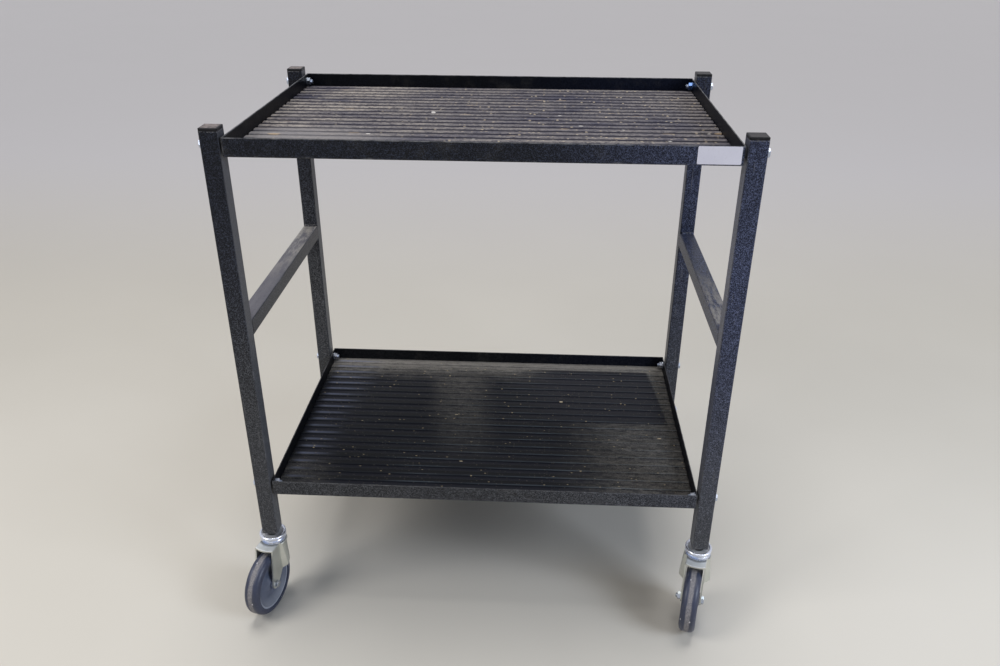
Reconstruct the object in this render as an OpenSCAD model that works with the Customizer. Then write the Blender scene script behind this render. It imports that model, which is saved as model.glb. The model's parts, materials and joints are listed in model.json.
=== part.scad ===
// Rolling tool table: a square tube frame, two rimmed trays with ribbed rubber mats, four swivel casters.
// Millimetres, +Z up. The origin is on the floor under the middle of the table, and -Y is the front.

/* [Frame] */
// Width over the legs
frame_w = 850; // [600:10:1200]
// Depth over the legs
frame_d = 520; // [400:10:700]
// Height over the leg caps
frame_h = 943; // [800:1:1100]
// Side of the square tube
tube_side = 30; // [27:1:36]
// Wall of the square tube
tube_wall = 1.5; // [1:0.25:2.25]
// Outer corner radius of the square tube
tube_r = 2.5; // [2.5:0.5:4]
// Height of each side rail's middle above the floor
rail_up = 594; // [340:10:700]
// Radius of the fillet weld between a rail and a leg
weld_r = 4; // [2:0.5:6]

/* [Leg caps and foot plugs] */
// Thickness of a leg cap above the tube
cap_t = 5; // [3:0.5:8]
// Corner radius of a leg cap, seen from above
cap_corner_r = 3; // [2:0.5:5]
// Radius of a leg cap's top edge
cap_edge_r = 2; // [0.5:0.25:2.5]
// Depth of a leg cap's plug in the tube
cap_plug_len = 15; // [8:1:30]
// Wall of a leg cap's hollow plug
cap_plug_wall = 2; // [1:0.25:3]
// Length of a foot plug in the tube
foot_plug_len = 40; // [25:1:60]
// Diameter of a foot plug's round boss under the tube
foot_boss_d = 21; // [18:1:26]
// Gap between a plug and the wall of the tube
plug_fit = 0.1; // [0.05:0.05:0.3]

/* [Trays] */
// Distance from the top of the leg tubes down to the upper tray's rim
upper_tray_drop = 9; // [9:1:40]
// Height of the lower tray's underside above the floor
lower_tray_up = 258; // [240:1:290]
// Height of a tray's rim
rim_h = 30; // [28:1:34]
// Thickness of a tray's sheet
sheet_t = 1.5; // [1:0.25:2.5]
// Outer radius of a tray's folds
fold_r = 2.5; // [2.5:0.25:3.5]
// Width of the seam at each corner of a tray's rims
rim_seam = 0.25; // [0.1:0.05:0.5]
// Gap between a tray's rim and a leg
tray_gap = 3.5; // [1:0.25:6]

/* [Mats] */
// Thickness of a mat under its ribs
mat_base = 3.5; // [2:0.25:4]
// Height of a mat's ribs
rib_h = 2.5; // [2:0.25:3]
// Width of a rib
rib_w = 14; // [8:1:18]
// Distance from one rib to the next
rib_pitch = 25; // [20:1:40]
// Radius of a rib's top edges
rib_r = 2; // [0.5:0.25:2]
// Plain strip between the last rib and the mat's rear edge
rib_border = 10; // [0:1:20]
// Gap between a mat and the rim round it
mat_gap = 1; // [1:0.25:4]

/* [Tray fasteners] */
// Diameter of the tray bolts
bolt_d = 8; // [6:1:8]
// Depth of a bolt's middle below the tray's rim
bolt_drop = 13; // [10:1:14]
// Size across the flats of a bolt's head and nut
hex_af = 13; // [12:0.5:14]
// Height of a bolt's head
bolt_head_h = 5.3; // [4:0.1:7]
// Height of a nut
nut_h = 6.5; // [5:0.5:8]
// Diameter of a washer
washer_d = 16; // [15:0.5:17]
// Thickness of a washer
washer_t = 1.6; // [1:0.1:2.5]
// Length of thread past a nut
bolt_spare = 4; // [1:0.5:8]
// Radial gap between a bolt and the hole that it passes through
bolt_play = 0.2; // [0.1:0.05:0.4]

/* [Blank label] */
// Width of the blank label
label_w = 65; // [30:1:100]
// Height of the blank label
label_h = 27; // [10:1:27]
// Distance from the label up to the tray's rim
label_drop = 0.5; // [0.5:0.5:1]
// Thickness of the blank label
label_t = 0.3; // [0.2:0.1:1]
// Distance from the label to the right end of the tray
label_inset = 4.5; // [3:0.5:40]

/* [Caster head] */
// Height of a caster, from the floor to the foot of the leg
caster_h = 163; // [160:1:175]
// Distance from the foot of the leg to the head cup's rim
cup_drop = 5; // [3:0.5:8]
// Diameter of the head cup
cup_d = 51; // [50:1:56]
// Height of the head cup
cup_h = 16; // [14:0.5:17]
// Thickness of the head cup's skirt
cup_wall = 1.75; // [1.5:0.25:2]
// Distance of the head cup's skirt inside its rolled rim
cup_step = 2; // [1:0.25:2.25]
// Radius of the head cup's rolled rim
cup_rim_r = 3; // [2.25:0.25:3.5]
// Radius of the round bead about the head cup's skirt
cup_bead_r = 4; // [3:0.25:4.5]
// Height of the bead above the skirt
cup_bead_out = 1; // [0.5:0.25:1.5]
// Depth of the head cup's floor below its rim
cup_recess = 3; // [2:0.5:4.5]
// Thickness of the head cup's floor
cup_floor_t = 3; // [2:0.5:3]
// Diameter of the stem
stem_d = 12; // [10:1:14]
// Length of the stem inside the foot plug
stem_up = 32; // [20:1:38]
// Diameter of the stem's riveted end under the fork
rivet_d = 20; // [18:1:24]
// Thickness of the stem's riveted end
rivet_t = 3; // [2:0.5:4]
// Diameter of the circle of balls
ball_ring_d = 35; // [32:1:36]
// Number of balls
ball_count = 12; // [8:1:14]
// Thickness of the ball cage
cage_t = 1.2; // [0.8:0.1:2]
// Width of the ball cage
cage_w = 6.5; // [4:0.5:7]
// Height of the race that the balls run on
race_h = 5; // [3.5:0.25:5.5]

/* [Caster fork and wheel] */
// Rest direction of the front left caster, in degrees from +X
turn_front_left = -105; // [-180:1:180]
// Rest direction of the front right caster, in degrees from +X
turn_front_right = -105; // [-180:1:180]
// Distance from the swivel axis to the axle
trail = 39; // [30:1:44]
// Thickness of the fork's sheet
fork_t = 3; // [2:0.25:3.5]
// Radius of the fork's upper bends
fork_bend_r = 3; // [2:0.25:4]
// Radius of the crown's front edge about the swivel axis
crown_r = 41; // [38:1:46]
// Radius of the fork's rounded rear, about the swivel axis, at the height of its knees
flare_r = 28.5; // [26:0.5:31]
// Distance from the swivel axis forward to the crease in each side of the fork
crease_x = 12; // [9:0.5:14]
// Radius of the fork's end round the axle
fork_end_r = 10; // [8:0.5:12]
// Radius of the fork's rear knees
knee_r = 14; // [12:1:16]
// Distance of the rear knees' centre in front of the swivel axis
knee_x = 11; // [9:0.5:14]
// Height of the rear knees' centre above the axle
knee_up = 40; // [34:1:44]
// Gap between the crown and the tyre
crown_gap = 13; // [8:0.5:20]
// Width of the tyre
tyre_w = 30; // [24:1:32]
// Radial thickness of the tyre
tyre_t = 12.5; // [8:0.5:16]
// Radius of the tyre's shoulders
shoulder_r = 9; // [5:0.5:10]
// Gap between the tyre and each side of the fork
tyre_clear = 1.25; // [0.75:0.25:3]
// Width of the wheel disc's rim
core_rim_w = 25; // [20:0.5:26]
// Radial thickness of the wheel disc's rim
core_rim_t = 3.5; // [2:0.5:6]
// Depth of the wheel disc's dished faces below its rim
dish_depth = 6; // [2:0.5:9]
// Length of the axle bolt past its nut
axle_spare = 3; // [1:0.5:5]
// Diameter of the wheel's hub
hub_d = 25; // [22:1:34]
// Outer diameter of the axle bush
bush_d = 12; // [11:0.5:14]
// Gap between the hub and each side of the fork
hub_play = 0.4; // [0.3:0.1:1]
// Radial running gap of the hub on its bush and of the fork on the stem
run_fit = 0.08; // [0.05:0.01:0.1]
// Gap between the turning parts of the head
head_gap = 1; // [0.5:0.25:2]
// Small gap between parts that nearly touch
seat_gap = 0.25; // [0.2:0.05:0.3]

/* [Hidden] */
$fn = 64;
hex_sides = 6;
over = 1;
chamfer_share = 0.93;
chamfer_angle = 30;
mitre_angle = 45;
navy = [0.10, 0.12, 0.16];
black_plastic = [0.12, 0.12, 0.13];
mat_grey = [0.22, 0.21, 0.21];
zinc = [0.74, 0.75, 0.76];
tyre_blue = [0.22, 0.24, 0.31];
disc_blue = [0.35, 0.38, 0.46];
steel = [0.62, 0.63, 0.65];
label_white = [0.92, 0.92, 0.93];

// Each corner is its side, its end, the rest direction of its caster and the turn of its bolts.
// Casters across the middle of the table lie opposite ways.
front_left = [-1, -1, turn_front_left, 30];
front_right = [1, -1, turn_front_right, 0];
rear_left = [-1, 1, turn_front_right + 180, 10];
rear_right = [1, 1, turn_front_left + 180, 50];
corners = [front_left, front_right, rear_left, rear_right];

corner_x = frame_w / 2 - tube_side / 2;
corner_y = frame_d / 2 - tube_side / 2;
foot_z = caster_h;
leg_top_z = frame_h - cap_t;
leg_len = leg_top_z - foot_z;
rail_len = frame_d - 2 * tube_side;
bore_side = tube_side - 2 * tube_wall;
bore_r = tube_r - tube_wall / 2;
plug_side = bore_side - 2 * plug_fit;
weld_len = tube_side - 2 * tube_r - 2;

upper_tray_z = leg_top_z - upper_tray_drop - rim_h;
tray_w = frame_w - 2 * tube_side - 2 * tray_gap;
mat_w = tray_w - 2 * sheet_t - 2 * mat_gap;
mat_d = frame_d - 2 * sheet_t - 2 * mat_gap;
rib_count = floor((mat_d - rib_w - rib_border) / rib_pitch) + 1;
last_rib_y = mat_d / 2 - rib_border - rib_w / 2;

bolt_hole_r = bolt_d / 2 + bolt_play;
thread_gap = 0.05;
label_corner_r = 2;
washer_seat = tube_side + tray_gap + sheet_t;
nut_seat = washer_seat + washer_t;
bolt_len = nut_seat + nut_h + bolt_spare;
bolt_levels = [lower_tray_up + rim_h - bolt_drop, upper_tray_z + rim_h - bolt_drop];

cup_floor_z = -cup_drop - cup_recess;
cup_low_z = -cup_drop - cup_h;
cup_bead_z = (cup_low_z - cup_drop - 2 * cup_rim_r) / 2;
crown_z = cup_low_z - head_gap;
fork_under_z = crown_z - fork_t;
race_z = crown_z + race_h;
ball_space = cup_floor_z - cup_floor_t - race_z;
ball_d = ball_space - 2 * seat_gap;
ball_z = race_z + ball_space / 2;
race_w = cage_w + 2;
rivet_z = fork_under_z - seat_gap;
wheel_d = caster_h + fork_under_z - crown_gap;
axle_z = wheel_d / 2 - caster_h;
fork_half = tyre_w / 2 + tyre_clear;
fork_out = fork_half + fork_t;
flare_top_r = cup_d / 2;
crease_angle = 60;
// How far a straight edge dips into the arc that it meets, so that the two cross
arc_dip = 0.03;
core_r = wheel_d / 2 - tyre_t;
hub_w = 2 * fork_half - 2 * hub_play;

// Places its children at the foot of a leg
module at_foot(c) {
    translate([c[0] * corner_x, c[1] * corner_y, foot_z]) children();
}

// Places its children on a caster's swivel axis, with +X towards the axle
module on_swivel(c) {
    at_foot(c) rotate([0, 0, c[2]]) children();
}

// Places its children on a caster's axle, with +Z along the axle towards the nut
module on_axle(c) {
    on_swivel(c) translate([trail, 0, axle_z]) rotate([90, 0, 0]) children();
}

// Places its children at every tray bolt, with +Z from the leg's outer face into the tray
module at_tray_bolts() {
    for (z = bolt_levels)
        for (c = corners)
            translate([c[0] * frame_w / 2, c[1] * corner_y, z]) rotate([0, -90 * c[0], 0])
                rotate([0, 0, c[3]]) children();
}

// A rectangle about its middle, with round corners
module round_rect(w, d, r) {
    square([w - 2 * r, d], center = true);
    square([w, d - 2 * r], center = true);
    for (x = [-1, 1])
        for (y = [-1, 1])
            translate([x * (w / 2 - r), y * (d / 2 - r)]) circle(r);
}

// A rectangle standing on the X axis, with its two lower corners round
module tub_section(w, h, r) {
    translate([-w / 2, r]) square([w, h - r]);
    translate([-w / 2 + r, 0]) square([w - 2 * r, h]);
    for (x = [-1, 1]) translate([x * (w / 2 - r), r]) circle(r);
}

// A block standing on its base, with its four lower edges round
module tub_block(w, d, h, r) {
    intersection() {
        rotate([90, 0, 0]) linear_extrude(d, center = true) tub_section(w, h, r);
        rotate([90, 0, 90]) linear_extrude(w, center = true) tub_section(d, h, r);
    }
}

module tube_section() {
    difference() {
        round_rect(tube_side, tube_side, tube_r);
        round_rect(bore_side, bore_side, bore_r);
    }
}

// A flat ring about Z
module ring(r_out, r_in, h) {
    difference() {
        cylinder(r = r_out, h = h);
        translate([0, 0, -over]) cylinder(r = r_in, h = h + 2 * over);
    }
}

// A hexagonal block with the corners of its upper face turned off
module hex_block(af, h) {
    corner = af / 2 / cos(180 / hex_sides);
    face_r = af / 2 * chamfer_share;
    drop = (corner - face_r) * tan(chamfer_angle);
    intersection() {
        cylinder(r = corner, h = h, $fn = hex_sides);
        rotate_extrude() polygon([[0, 0], [corner, 0], [corner, h - drop], [face_r, h], [0, h]]);
    }
}

// A square tube with its bolt holes
module leg(c) {
    color(navy) difference() {
        at_foot(c) linear_extrude(leg_len) tube_section();
        for (z = bolt_levels)
            translate([c[0] * corner_x, c[1] * corner_y, z]) rotate([0, 90, 0])
                cylinder(r = bolt_hole_r, h = tube_side + 2 * over, center = true);
    }
}

module side_rail(side) {
    color(navy) translate([side * corner_x, 0, rail_up]) rotate([90, 0, 0])
        linear_extrude(rail_len, center = true) tube_section();
}

// A quarter round bead above and below each end of each rail
module rail_welds() {
    color(navy)
        for (side = [-1, 1])
            for (q = [[-1, 1, 0], [1, 1, 90], [1, -1, 180], [-1, -1, 270]])
                translate([side * corner_x, q[0] * rail_len / 2, rail_up + q[1] * tube_side / 2])
                    rotate([90, 0, 90]) linear_extrude(weld_len, center = true) intersection() {
                        circle(weld_r);
                        rotate(q[2]) square(weld_r + over);
                    }
}

// A plastic cap: a plate on the end of the tube and a hollow plug inside it
module leg_cap(c) {
    color(black_plastic) translate([c[0] * corner_x, c[1] * corner_y, leg_top_z]) {
        intersection() {
            linear_extrude(cap_t) round_rect(tube_side, tube_side, cap_corner_r);
            translate([0, 0, cap_t]) mirror([0, 0, 1]) tub_block(tube_side, tube_side, cap_t, cap_edge_r);
        }
        translate([0, 0, -cap_plug_len]) linear_extrude(cap_plug_len) difference() {
            round_rect(plug_side, plug_side, bore_r);
            square(plug_side - 2 * cap_plug_wall, center = true);
        }
    }
}

// Square plugs in the tubes, each with a round boss down to the floor of the head cup
module foot_plugs() {
    color(black_plastic) for (c = corners) at_foot(c) difference() {
        union() {
            linear_extrude(foot_plug_len) round_rect(plug_side, plug_side, bore_r);
            translate([0, 0, cup_floor_z]) cylinder(d = foot_boss_d, h = -cup_floor_z + over);
        }
        translate([0, 0, cup_floor_z - over]) cylinder(d = stem_d + 2 * plug_fit, h = foot_plug_len * 2);
    }
}

// The flat floor of a sheet tray
module tray_floor(z) {
    color(navy) translate([0, 0, z + sheet_t / 2])
        cube([tray_w - 2 * fold_r, frame_d - 2 * fold_r, sheet_t], center = true);
}

// The four rims of a tray, folded up from its floor, with a mitred seam and a bolt hole at each corner
module tray_rims(z) {
    color(navy) difference() {
        translate([0, 0, z]) difference() {
            tub_block(tray_w, frame_d, rim_h, fold_r);
            translate([0, 0, sheet_t])
                tub_block(tray_w - 2 * sheet_t, frame_d - 2 * sheet_t, rim_h, fold_r - sheet_t);
            translate([0, 0, sheet_t / 2])
                cube([tray_w - 2 * fold_r, frame_d - 2 * fold_r, 2 * sheet_t], center = true);
            for (c = corners)
                translate([c[0] * tray_w / 2, c[1] * frame_d / 2, rim_h / 2])
                    rotate([0, 0, c[0] * c[1] * mitre_angle])
                        cube([4 * fold_r, rim_seam, rim_h + 2 * over], center = true);
        }
        for (c = corners)
            translate([c[0] * tray_w / 2, c[1] * corner_y, z + rim_h - bolt_drop]) rotate([0, 90, 0])
                cylinder(r = bolt_hole_r, h = 4 * sheet_t, center = true);
    }
}

// One rib of a mat, round at both top edges
module rib_section() {
    top = mat_base + rib_h;
    translate([-rib_w / 2, 0]) square([rib_w, top - rib_r]);
    translate([-rib_w / 2 + rib_r, 0]) square([rib_w - 2 * rib_r, top]);
    for (x = [-1, 1]) translate([x * (rib_w / 2 - rib_r), top - rib_r]) circle(rib_r);
}

// A rubber mat whose ribs run from side to side
module mat(z) {
    color(mat_grey) translate([0, 0, z + sheet_t]) rotate([90, 0, 90]) linear_extrude(mat_w, center = true) {
        translate([-mat_d / 2, 0]) square([mat_d, mat_base]);
        for (i = [0 : rib_count - 1]) translate([last_rib_y - i * rib_pitch, 0]) rib_section();
    }
}

module tray_bolts() {
    color(zinc) at_tray_bolts() {
        mirror([0, 0, 1]) hex_block(hex_af, bolt_head_h);
        cylinder(d = bolt_d, h = bolt_len);
    }
}

module tray_spacers() {
    color(zinc) at_tray_bolts() translate([0, 0, tube_side]) ring(washer_d / 2, bolt_hole_r, tray_gap);
}

module tray_washers() {
    color(zinc) at_tray_bolts() translate([0, 0, washer_seat]) ring(washer_d / 2, bolt_hole_r, washer_t);
}

module tray_nuts() {
    color(zinc) at_tray_bolts() translate([0, 0, nut_seat]) difference() {
        hex_block(hex_af, nut_h);
        translate([0, 0, -over]) cylinder(r = bolt_d / 2 + thread_gap, h = nut_h + 2 * over);
    }
}

// A plain plate on the right end of the upper tray's front rim
module blank_label() {
    x = tray_w / 2 - label_inset - label_w / 2;
    z = upper_tray_z + rim_h - label_drop - label_h / 2;
    color(label_white) translate([x, -frame_d / 2, z]) rotate([90, 0, 0])
        linear_extrude(label_t) round_rect(label_w, label_h, label_corner_r);
}

// The fixed stem that the fork turns on, riveted over under the crown
module stem(c) {
    dome_r = (rivet_d * rivet_d / 4 + rivet_t * rivet_t) / (2 * rivet_t);
    color(steel) at_foot(c) {
        translate([0, 0, rivet_z]) cylinder(d = stem_d, h = stem_up - rivet_z);
        translate([0, 0, rivet_z - rivet_t]) rotate_extrude() intersection() {
            translate([0, dome_r]) circle(dome_r);
            square([rivet_d / 2, rivet_t]);
        }
    }
}

// The round cup under the leg that covers the balls, with a rolled rim and a bead about its skirt
module head_cup(c) {
    skirt_r = cup_d / 2 - cup_step;
    bore = stem_d / 2 + thread_gap;
    color(zinc) at_foot(c) rotate_extrude() {
        translate([bore, cup_floor_z - cup_floor_t]) square([skirt_r - cup_wall / 2 - bore, cup_floor_t]);
        translate([skirt_r - cup_wall, cup_low_z]) square([cup_wall, cup_h - cup_rim_r]);
        translate([cup_d / 2 - cup_rim_r, -cup_drop - cup_rim_r]) circle(cup_rim_r);
        intersection() {
            translate([skirt_r + cup_bead_out - cup_bead_r, cup_bead_z]) circle(cup_bead_r);
            translate([skirt_r - cup_wall / 2, cup_low_z]) square(cup_h);
        }
    }
}

// The balls in their flat cage
module ball_ring(c) {
    r = ball_ring_d / 2;
    color(steel) on_swivel(c) translate([0, 0, ball_z]) {
        translate([0, 0, -cage_t / 2]) ring(r + cage_w / 2, r - cage_w / 2, cage_t);
        for (i = [0 : ball_count - 1])
            rotate([0, 0, i * 360 / ball_count]) translate([r, 0, 0]) sphere(d = ball_d);
    }
}

// Unit normal of the straight line that touches two circles
// It lies to the left (side 1) or the right (side -1) of the way from the first to the second
function tangent_normal(c1, r1, c2, r2, side) =
    let (way = c2 - c1, d = norm(way), u = way / d, k = (r1 - r2) / d)
    u * k + side * [-u[1], u[0]] * sqrt(1 - k * k);

// The side view of a fork's leg: X forward from the swivel axis, Y up
module fork_leg_outline() {
    back = [knee_x - knee_r - fork_t, crown_z];
    front = [sqrt(crown_r * crown_r - fork_out * fork_out), crown_z];
    knee = [knee_x, axle_z + knee_up];
    axle = [trail, axle_z];
    n_back = tangent_normal(back, 0, knee, knee_r, -1);
    n_low = tangent_normal(knee, knee_r, axle, fork_end_r, -1);
    n_front = tangent_normal(axle, fork_end_r, front, 0, -1);
    knee_in = knee_r - arc_dip;
    end_in = fork_end_r - arc_dip;
    polygon([
        back, knee + knee_in * n_back, knee, knee + knee_in * n_low,
        axle + end_in * n_low, axle, axle + end_in * n_front, front
    ]);
    translate(knee) circle(knee_r);
    translate(axle) circle(fork_end_r);
}

// Half of the section of the fork's rounded rear, which widens downward from a round upper edge
module flare_section(r_top, r_knee, bend, z_top) {
    knee_drop = z_top - bend - axle_z - knee_up;
    slope = (r_knee - r_top) / knee_drop;
    low = z_top - bend - axle_z;
    polygon([[0, z_top], [r_top - bend, z_top], [r_top, z_top - bend], [r_top + slope * low, axle_z], [0, axle_z]]);
    intersection() {
        translate([r_top - bend, z_top - bend]) circle(bend);
        translate([r_top - bend, z_top - bend]) square(bend);
    }
}

// The space behind the two creases, seen from above, moved back by a distance
module behind_creases(back) {
    tip = crease_x - back + fork_out / tan(crease_angle);
    reach = tip + 2 * flare_r;
    translate([0, 0, axle_z]) linear_extrude(caster_h)
        polygon([[tip, 0], [tip - reach, reach * tan(crease_angle)], [tip - reach, -reach * tan(crease_angle)]]);
}

// The outside of the fork before its side view is cut
// It is a channel over the wheel in front, and round behind the creases
module fork_blank() {
    rotate([90, 0, 90]) linear_extrude(2 * crown_r) translate([0, crown_z]) mirror([0, 1])
        tub_section(2 * fork_out, caster_h, fork_bend_r);
    intersection() {
        rotate_extrude() flare_section(flare_top_r, flare_r, fork_bend_r, crown_z);
        behind_creases(0);
    }
}

// A pressed sheet fork with a flat crown and two legs, which spread behind a crease in each side
module fork(c) {
    color(zinc) on_swivel(c) {
        difference() {
            intersection() {
                fork_blank();
                union() {
                    rotate([90, 0, 0]) linear_extrude(2 * cup_d, center = true) fork_leg_outline();
                    translate([0, 0, fork_under_z]) linear_extrude(2 * fork_t) {
                        circle(flare_top_r);
                        intersection() {
                            circle(crown_r);
                            translate([0, -fork_out]) square([crown_r, 2 * fork_out]);
                        }
                    }
                }
            }
            translate([-2 * crown_r, -fork_half, fork_under_z - caster_h])
                cube([4 * crown_r, 2 * fork_half, caster_h]);
            intersection() {
                rotate_extrude()
                    flare_section(flare_top_r - fork_t, flare_r - fork_t, fork_bend_r - fork_t / 2, fork_under_z);
                behind_creases(fork_t / sin(crease_angle));
            }
            translate([0, 0, fork_under_z - over]) cylinder(r = stem_d / 2 + run_fit, h = fork_t + 2 * over);
            translate([trail, 0, axle_z]) rotate([90, 0, 0])
                cylinder(r = bolt_hole_r, h = 3 * fork_out, center = true);
        }
        translate([0, 0, crown_z]) ring(ball_ring_d / 2 + race_w / 2, ball_ring_d / 2 - race_w / 2, race_h);
    }
}

module axle_bolt(c) {
    color(zinc) on_axle(c) {
        translate([0, 0, -fork_out]) mirror([0, 0, 1]) hex_block(hex_af, bolt_head_h);
        translate([0, 0, -fork_out]) cylinder(d = bolt_d, h = 2 * fork_out + nut_h + axle_spare);
    }
}

module axle_nut(c) {
    color(zinc) on_axle(c) translate([0, 0, fork_out]) difference() {
        hex_block(hex_af, nut_h);
        translate([0, 0, -over]) cylinder(r = bolt_d / 2 + thread_gap, h = nut_h + 2 * over);
    }
}

// The tube that the bolt clamps between the sides of the fork, and that the hub runs on
module axle_bush(c) {
    color(steel) on_axle(c) translate([0, 0, -fork_half])
        ring(bush_d / 2, bolt_d / 2 + thread_gap, 2 * fork_half);
}

// A disc with a hub and a flat rim, dished on both faces
module wheel_disc(c) {
    dish_w = core_r - core_rim_t - hub_d / 2;
    dish_r = (dish_w * dish_w / 4 + dish_depth * dish_depth) / (2 * dish_depth);
    color(disc_blue) on_axle(c) rotate_extrude() {
        difference() {
            translate([hub_d / 2 - over, -core_rim_w / 2]) square([core_r - hub_d / 2 + over, core_rim_w]);
            for (s = [-1, 1])
                translate([(hub_d + dish_w) / 2, s * (core_rim_w / 2 - dish_depth + dish_r)]) circle(dish_r);
        }
        translate([bush_d / 2 + run_fit, -hub_w / 2]) square([(hub_d - bush_d) / 2 - run_fit, hub_w]);
    }
}

// A solid rubber tyre with round shoulders, moulded on the disc's rim
module tyre(c) {
    out = wheel_d / 2;
    seat = core_r + thread_gap;
    color(tyre_blue) on_axle(c) rotate_extrude() intersection() {
        translate([seat, -tyre_w / 2]) square([out - seat, tyre_w]);
        union() {
            translate([0, -tyre_w / 2]) square([out - shoulder_r, tyre_w]);
            translate([0, -tyre_w / 2 + shoulder_r]) square([out, tyre_w - 2 * shoulder_r]);
            for (s = [-1, 1]) translate([out - shoulder_r, s * (tyre_w / 2 - shoulder_r)]) circle(shoulder_r);
        }
    }
}

leg(front_left);  // leg_front_left
leg(front_right);  // leg_front_right
leg(rear_left);  // leg_rear_left
leg(rear_right);  // leg_rear_right
side_rail(-1);  // side_rail_left
side_rail(1);  // side_rail_right
rail_welds();
leg_cap(front_left);  // cap_front_left
leg_cap(front_right);  // cap_front_right
leg_cap(rear_left);  // cap_rear_left
leg_cap(rear_right);  // cap_rear_right
foot_plugs();
tray_floor(upper_tray_z);  // tray_floor_upper
tray_rims(upper_tray_z);  // tray_rims_upper
tray_floor(lower_tray_up);  // tray_floor_lower
tray_rims(lower_tray_up);  // tray_rims_lower
mat(upper_tray_z);  // mat_upper
mat(lower_tray_up);  // mat_lower
tray_bolts();
tray_spacers();
tray_washers();
tray_nuts();
blank_label();
stem(front_left);  // stem_front_left
head_cup(front_left);  // head_cup_front_left
ball_ring(front_left);  // ball_ring_front_left
fork(front_left);  // fork_front_left
axle_bolt(front_left);  // axle_bolt_front_left
axle_nut(front_left);  // axle_nut_front_left
axle_bush(front_left);  // axle_bush_front_left
wheel_disc(front_left);  // wheel_disc_front_left
tyre(front_left);  // tyre_front_left
stem(front_right);  // stem_front_right
head_cup(front_right);  // head_cup_front_right
ball_ring(front_right);  // ball_ring_front_right
fork(front_right);  // fork_front_right
axle_bolt(front_right);  // axle_bolt_front_right
axle_nut(front_right);  // axle_nut_front_right
axle_bush(front_right);  // axle_bush_front_right
wheel_disc(front_right);  // wheel_disc_front_right
tyre(front_right);  // tyre_front_right
stem(rear_left);  // stem_rear_left
head_cup(rear_left);  // head_cup_rear_left
ball_ring(rear_left);  // ball_ring_rear_left
fork(rear_left);  // fork_rear_left
axle_bolt(rear_left);  // axle_bolt_rear_left
axle_nut(rear_left);  // axle_nut_rear_left
axle_bush(rear_left);  // axle_bush_rear_left
wheel_disc(rear_left);  // wheel_disc_rear_left
tyre(rear_left);  // tyre_rear_left
stem(rear_right);  // stem_rear_right
head_cup(rear_right);  // head_cup_rear_right
ball_ring(rear_right);  // ball_ring_rear_right
fork(rear_right);  // fork_rear_right
axle_bolt(rear_right);  // axle_bolt_rear_right
axle_nut(rear_right);  // axle_nut_rear_right
axle_bush(rear_right);  // axle_bush_rear_right
wheel_disc(rear_right);  // wheel_disc_rear_right
tyre(rear_right);  // tyre_rear_right
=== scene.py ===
import json
import math

import bpy
from mathutils import Matrix, Vector


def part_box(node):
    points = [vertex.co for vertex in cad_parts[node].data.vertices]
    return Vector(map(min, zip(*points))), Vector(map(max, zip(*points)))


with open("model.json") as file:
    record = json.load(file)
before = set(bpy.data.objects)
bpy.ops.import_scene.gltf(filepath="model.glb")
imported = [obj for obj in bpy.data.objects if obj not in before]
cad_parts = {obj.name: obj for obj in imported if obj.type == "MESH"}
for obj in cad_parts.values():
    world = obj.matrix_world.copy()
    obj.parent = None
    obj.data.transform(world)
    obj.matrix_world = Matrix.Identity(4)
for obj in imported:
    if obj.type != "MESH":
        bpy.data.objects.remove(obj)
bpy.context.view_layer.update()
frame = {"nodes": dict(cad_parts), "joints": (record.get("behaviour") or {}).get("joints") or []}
nodes = frame["nodes"]
joints = {joint["name"]: joint for joint in frame["joints"]}

# Every length is in metres, and the small ones are written as so many millimetres
MM = 0.001


def middle(node):
    low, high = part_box(node)
    return (low + high) / 2


def half_size(node):
    low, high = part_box(node)
    return (high - low) / 2


# Sizes of the part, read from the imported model
CORNERS = ("front_left", "front_right", "rear_left", "rear_right")
CORNER_X, CORNER_Y, _ = middle("leg_rear_right")
HALF_TUBE = half_size("leg_rear_right").x
FOOT_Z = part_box("leg_rear_right")[0].z
LEG_TOP_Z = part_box("leg_rear_right")[1].z
RAIL_Z = middle("side_rail_left").z
TRAY_X, TRAY_Y, _ = half_size("tray_rims_upper")
UPPER_MAT_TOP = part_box("mat_upper")[1].z
LOWER_MAT_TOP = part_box("mat_lower")[1].z
WHEEL_R = joints["roll_front_left"]["pos_m"][2]  # the height of the axle, as the wheel stands on the floor
DISC_R = half_size("wheel_disc_front_left").z
CUP_R = half_size("head_cup_front_left").x

# The ribs of the mats
RIB_PITCH = 25 * MM
RIB_HALF_W = 7 * MM
REAR_RIB_Y = 240.5 * MM

# The screw threads: the tray bolts' from the middle as far out as this, the axles' from this far out
SCREW_PITCH = 1.25 * MM
BOLT_THREAD_X = 384 * MM
AXLE_THREAD_R = 4.2 * MM
AXLE_THREAD_FROM = 18 * MM


def rgb(r, g, b):
    """A display colour, 0 to 255, as linear light."""
    def linear(c):
        c /= 255
        return c / 12.92 if c <= 0.04045 else ((c + 0.055) / 1.055) ** 2.4
    return linear(r), linear(g), linear(b), 1.0


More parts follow.
